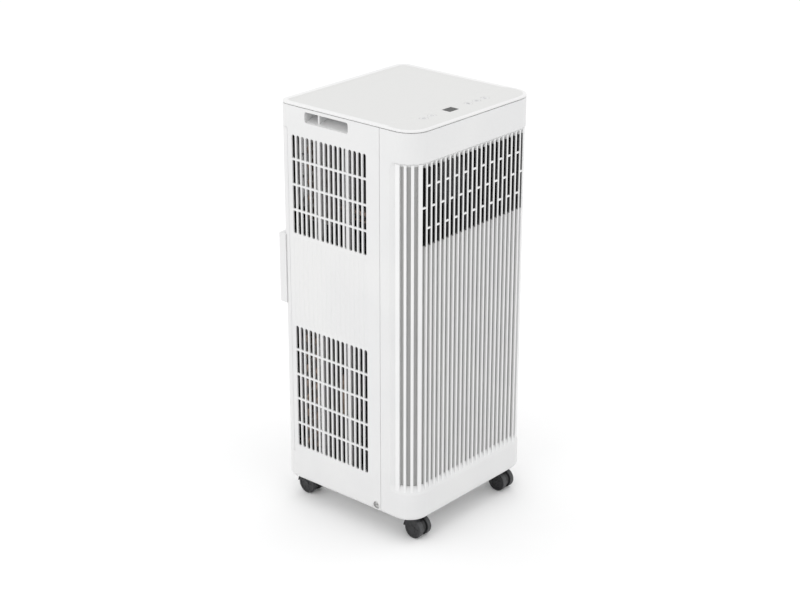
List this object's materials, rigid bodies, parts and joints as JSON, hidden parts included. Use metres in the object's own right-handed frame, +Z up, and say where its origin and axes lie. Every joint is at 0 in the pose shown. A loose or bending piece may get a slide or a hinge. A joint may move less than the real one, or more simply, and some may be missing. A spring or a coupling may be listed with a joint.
{
  "type": "portable air conditioner",
  "caption": "Tall white portable air conditioner on swivel casters, with a ribbed front grille, slotted sides, recessed grips, top keys and a rear warm-air outlet.",
  "frame": {"origin": "centre of the object's footprint, on the floor", "axes": "+Z up, -Y out of the front air grille, +X to the right seen from the front"},
  "size_m": [0.282, 0.27, 0.66],
  "materials": {
    "casing_white": "satin white moulded ABS",
    "top_white": "satin white moulded ABS",
    "display_smoke": "glossy black",
    "circuit_board": "green solder mask",
    "filter_net": "woven nylon net",
    "inner_charcoal": "matt charcoal moulding",
    "compressor_black": "black paint",
    "rubber_black": "matt black",
    "fin_aluminium": "bare fin stock",
    "copper_tube": "drawn copper",
    "motor_steel": "zinc plated",
    "box_black": "matt black",
    "screw_steel": "zinc plated",
    "caster_black": "satin black nylon"
  },
  "bodies": {
    "casing": {"base_pan": "casing_white", "front_shell": "casing_white", "front_grille": "casing_white", "side_shell_left": "casing_white", "side_shell_right": "casing_white", "grip_cups": "casing_white", "rear_panel": "casing_white", "top_cover": "top_white", "display_window": "display_smoke", "control_board": "circuit_board", "exhaust_frame": "casing_white", "partition": "inner_charcoal", "water_tray": "inner_charcoal", "compressor": "compressor_black", "accumulator": "compressor_black", "compressor_grommets": "rubber_black", "condenser_fins": "fin_aluminium", "condenser_tubes": "copper_tube", "evaporator_fins": "fin_aluminium", "evaporator_tubes": "copper_tube", "blower_scroll": "inner_charcoal", "blower_motor": "motor_steel", "exhaust_scroll": "inner_charcoal", "exhaust_motor": "motor_steel", "splash_motor": "motor_steel", "discharge_pipe": "copper_tube", "liquid_line": "copper_tube", "suction_pipe": "copper_tube", "electrical_box": "box_black", "run_capacitor": "motor_steel", "cord_gland": "rubber_black", "shell_screws": "screw_steel", "caster_stems": "screw_steel"},
    "power_button": {"power_key": "top_white"},
    "mode_button": {"mode_key": "top_white"},
    "speed_button": {"speed_key": "top_white"},
    "timer_button": {"timer_key": "top_white"},
    "sleep_button": {"sleep_key": "top_white"},
    "blower": {"blower_wheel": "inner_charcoal"},
    "exhaust_fan": {"exhaust_wheel": "inner_charcoal"},
    "splasher": {"splash_wheel": "inner_charcoal"},
    "upper_filter": {"upper_air_filter": "casing_white"},
    "lower_filter": {"lower_air_filter": "casing_white"},
    "drain_stopper": {"drain_plug": "rubber_black"},
    "caster_front_left": {"hood_front_left": "caster_black", "axle_front_left": "screw_steel"},
    "roller_front_left_outer": {"wheel_front_left_outer": "caster_black"},
    "roller_front_left_inner": {"wheel_front_left_inner": "caster_black"},
    "caster_front_right": {"hood_front_right": "caster_black", "axle_front_right": "screw_steel"},
    "roller_front_right_outer": {"wheel_front_right_outer": "caster_black"},
    "roller_front_right_inner": {"wheel_front_right_inner": "caster_black"},
    "caster_rear_left": {"hood_rear_left": "caster_black", "axle_rear_left": "screw_steel"},
    "roller_rear_left_outer": {"wheel_rear_left_outer": "caster_black"},
    "roller_rear_left_inner": {"wheel_rear_left_inner": "caster_black"},
    "caster_rear_right": {"hood_rear_right": "caster_black", "axle_rear_right": "screw_steel"},
    "roller_rear_right_outer": {"wheel_rear_right_outer": "caster_black"},
    "roller_rear_right_inner": {"wheel_rear_right_inner": "caster_black"}
  },
  "joints": [
    {"name": "power_press", "type": "slide", "parent": "casing", "child": "power_button", "axis": [0, 0, -1], "range_m": [0, 0.0006], "stiffness_N_per_m": 1500},
    {"name": "mode_press", "type": "slide", "parent": "casing", "child": "mode_button", "axis": [0, 0, -1], "range_m": [0, 0.0006], "stiffness_N_per_m": 1500},
    {"name": "speed_press", "type": "slide", "parent": "casing", "child": "speed_button", "axis": [0, 0, -1], "range_m": [0, 0.0006], "stiffness_N_per_m": 1500},
    {"name": "timer_press", "type": "slide", "parent": "casing", "child": "timer_button", "axis": [0, 0, -1], "range_m": [0, 0.0006], "stiffness_N_per_m": 1500},
    {"name": "sleep_press", "type": "slide", "parent": "casing", "child": "sleep_button", "axis": [0, 0, -1], "range_m": [0, 0.0006], "stiffness_N_per_m": 1500},
    {"name": "blower_spin", "type": "hinge", "parent": "casing", "child": "blower", "pos_m": [0, -0.0125, 0.548], "axis": [0, 1, 0], "continuous": true},
    {"name": "exhaust_fan_spin", "type": "hinge", "parent": "casing", "child": "exhaust_fan", "pos_m": [0.005, 0.015, 0.39], "axis": [0, 0, 1], "continuous": true},
    {"name": "splash_spin", "type": "hinge", "parent": "casing", "child": "splasher", "pos_m": [-0.065, 0.022, 0.078], "axis": [1, 0, 0], "continuous": true},
    {"name": "upper_filter_pull", "type": "slide", "parent": "casing", "child": "upper_filter", "axis": [0, 1, 0], "range_m": [0, 0.06]},
    {"name": "lower_filter_pull", "type": "slide", "parent": "casing", "child": "lower_filter", "axis": [0, 1, 0], "range_m": [0, 0.06]},
    {"name": "drain_plug_pull", "type": "slide", "parent": "casing", "child": "drain_stopper", "axis": [0, 1, 0], "range_m": [0, 0.03]},
    {"name": "swivel_front_left", "type": "hinge", "parent": "casing", "child": "caster_front_left", "pos_m": [-0.1035, -0.107, 0.03], "axis": [0, 0, 1], "continuous": true},
    {"name": "roll_front_left_outer", "type": "hinge", "parent": "caster_front_left", "child": "roller_front_left_outer", "pos_m": [-0.1035, -0.115, 0.016], "axis": [1, 0, 0], "continuous": true},
    {"name": "roll_front_left_inner", "type": "hinge", "parent": "caster_front_left", "child": "roller_front_left_inner", "pos_m": [-0.1035, -0.115, 0.016], "axis": [1, 0, 0], "continuous": true},
    {"name": "swivel_front_right", "type": "hinge", "parent": "casing", "child": "caster_front_right", "pos_m": [0.1035, -0.107, 0.03], "axis": [0, 0, 1], "continuous": true},
    {"name": "roll_front_right_outer", "type": "hinge", "parent": "caster_front_right", "child": "roller_front_right_outer", "pos_m": [0.1035, -0.115, 0.016], "axis": [1, 0, 0], "continuous": true},
    {"name": "roll_front_right_inner", "type": "hinge", "parent": "caster_front_right", "child": "roller_front_right_inner", "pos_m": [0.1035, -0.115, 0.016], "axis": [1, 0, 0], "continuous": true},
    {"name": "swivel_rear_left", "type": "hinge", "parent": "casing", "child": "caster_rear_left", "pos_m": [-0.1035, 0.119, 0.03], "axis": [0, 0, 1], "continuous": true},
    {"name": "roll_rear_left_outer", "type": "hinge", "parent": "caster_rear_left", "child": "roller_rear_left_outer", "pos_m": [-0.1035, 0.111, 0.016], "axis": [1, 0, 0], "continuous": true},
    {"name": "roll_rear_left_inner", "type": "hinge", "parent": "caster_rear_left", "child": "roller_rear_left_inner", "pos_m": [-0.1035, 0.111, 0.016], "axis": [1, 0, 0], "continuous": true},
    {"name": "swivel_rear_right", "type": "hinge", "parent": "casing", "child": "caster_rear_right", "pos_m": [0.1035, 0.119, 0.03], "axis": [0, 0, 1], "continuous": true},
    {"name": "roll_rear_right_outer", "type": "hinge", "parent": "caster_rear_right", "child": "roller_rear_right_outer", "pos_m": [0.1035, 0.111, 0.016], "axis": [1, 0, 0], "continuous": true},
    {"name": "roll_rear_right_inner", "type": "hinge", "parent": "caster_rear_right", "child": "roller_rear_right_inner", "pos_m": [0.1035, 0.111, 0.016], "axis": [1, 0, 0], "continuous": true}
  ]
}
